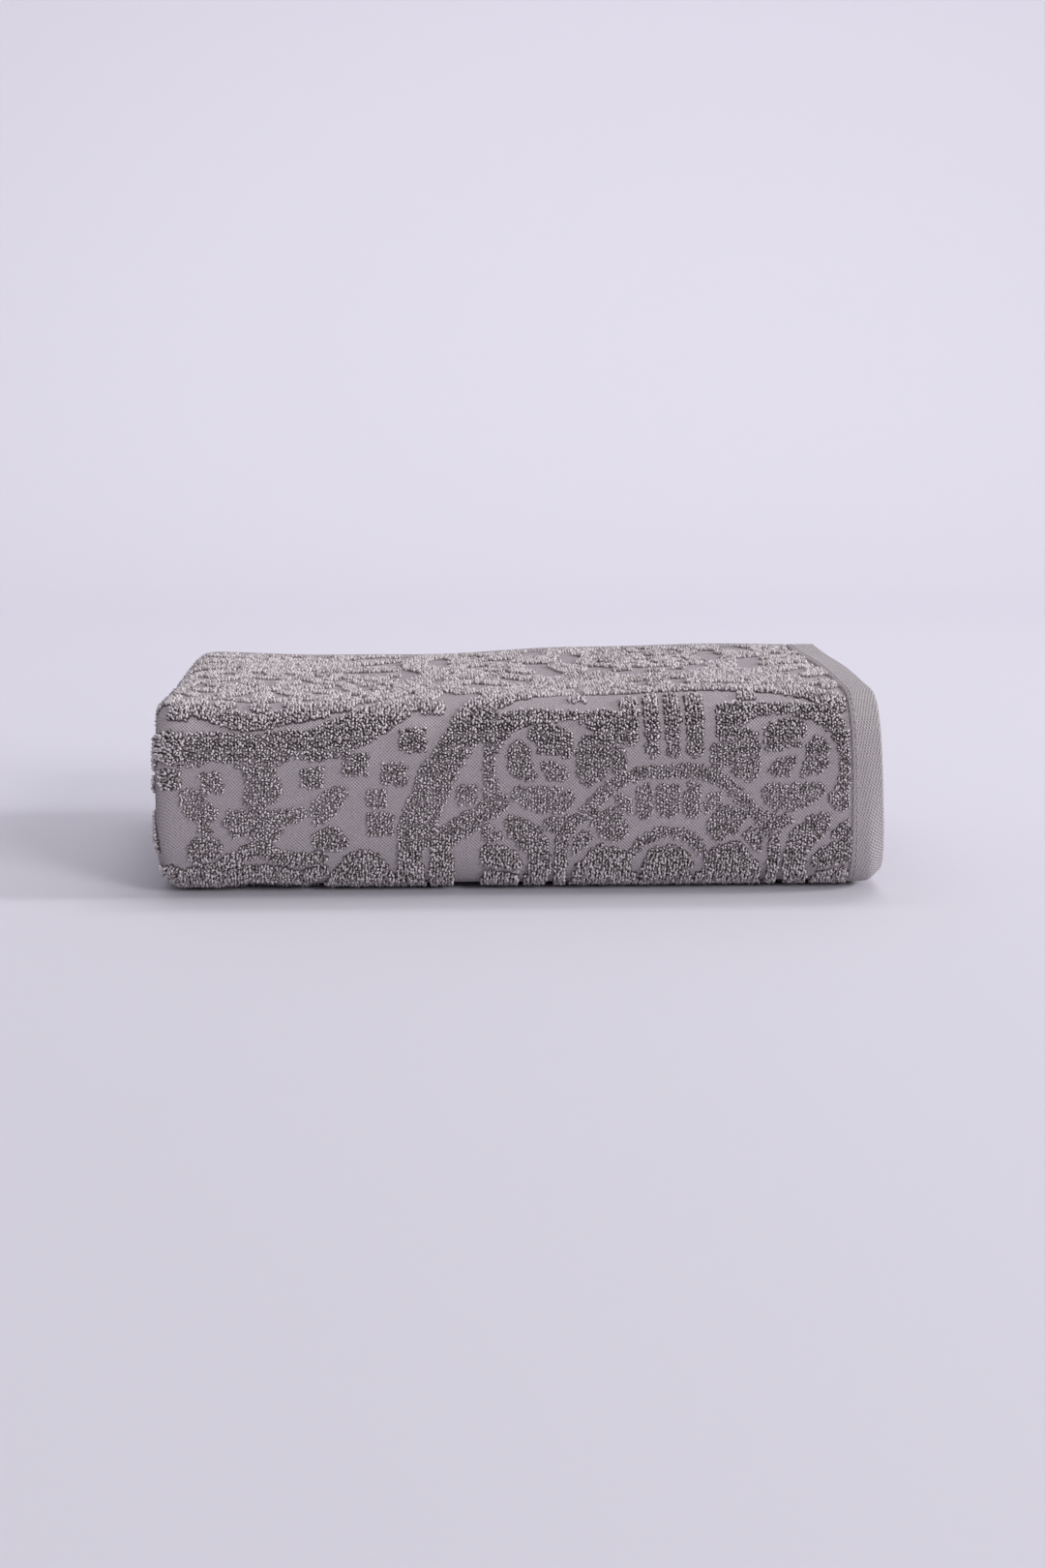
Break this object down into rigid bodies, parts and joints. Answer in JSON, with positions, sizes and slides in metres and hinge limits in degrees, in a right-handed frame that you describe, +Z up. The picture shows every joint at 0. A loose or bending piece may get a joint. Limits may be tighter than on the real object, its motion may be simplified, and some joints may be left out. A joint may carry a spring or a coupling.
{
  "type": "folded bath towel",
  "caption": "Bath towel of sculpted terry with flat woven hems, folded into a rectangular block with its outer fold to the front.",
  "frame": {"origin": "on the surface it rests on, under the centre of the folded towel's bounding box", "axes": "+X along the front fold, towards the end hems; +Y from the front fold to the back; +Z up through the layers"},
  "size_m": [0.3558, 0.2414, 0.0954],
  "materials": {
    "terry": "matte cotton loop pile",
    "hem": "matte flat-woven cotton",
    "thread": "cotton sewing thread"
  },
  "bodies": {
    "root": {"terry_cloth": "terry", "first_end_hem": "hem", "first_end_hem_stitches": "thread", "second_end_hem": "hem", "second_end_hem_stitches": "thread", "loose_side_hem": "hem", "loose_side_hem_stitches": "thread", "tucked_side_hem": "hem", "tucked_side_hem_stitches": "thread"}
  },
  "joints": []
}
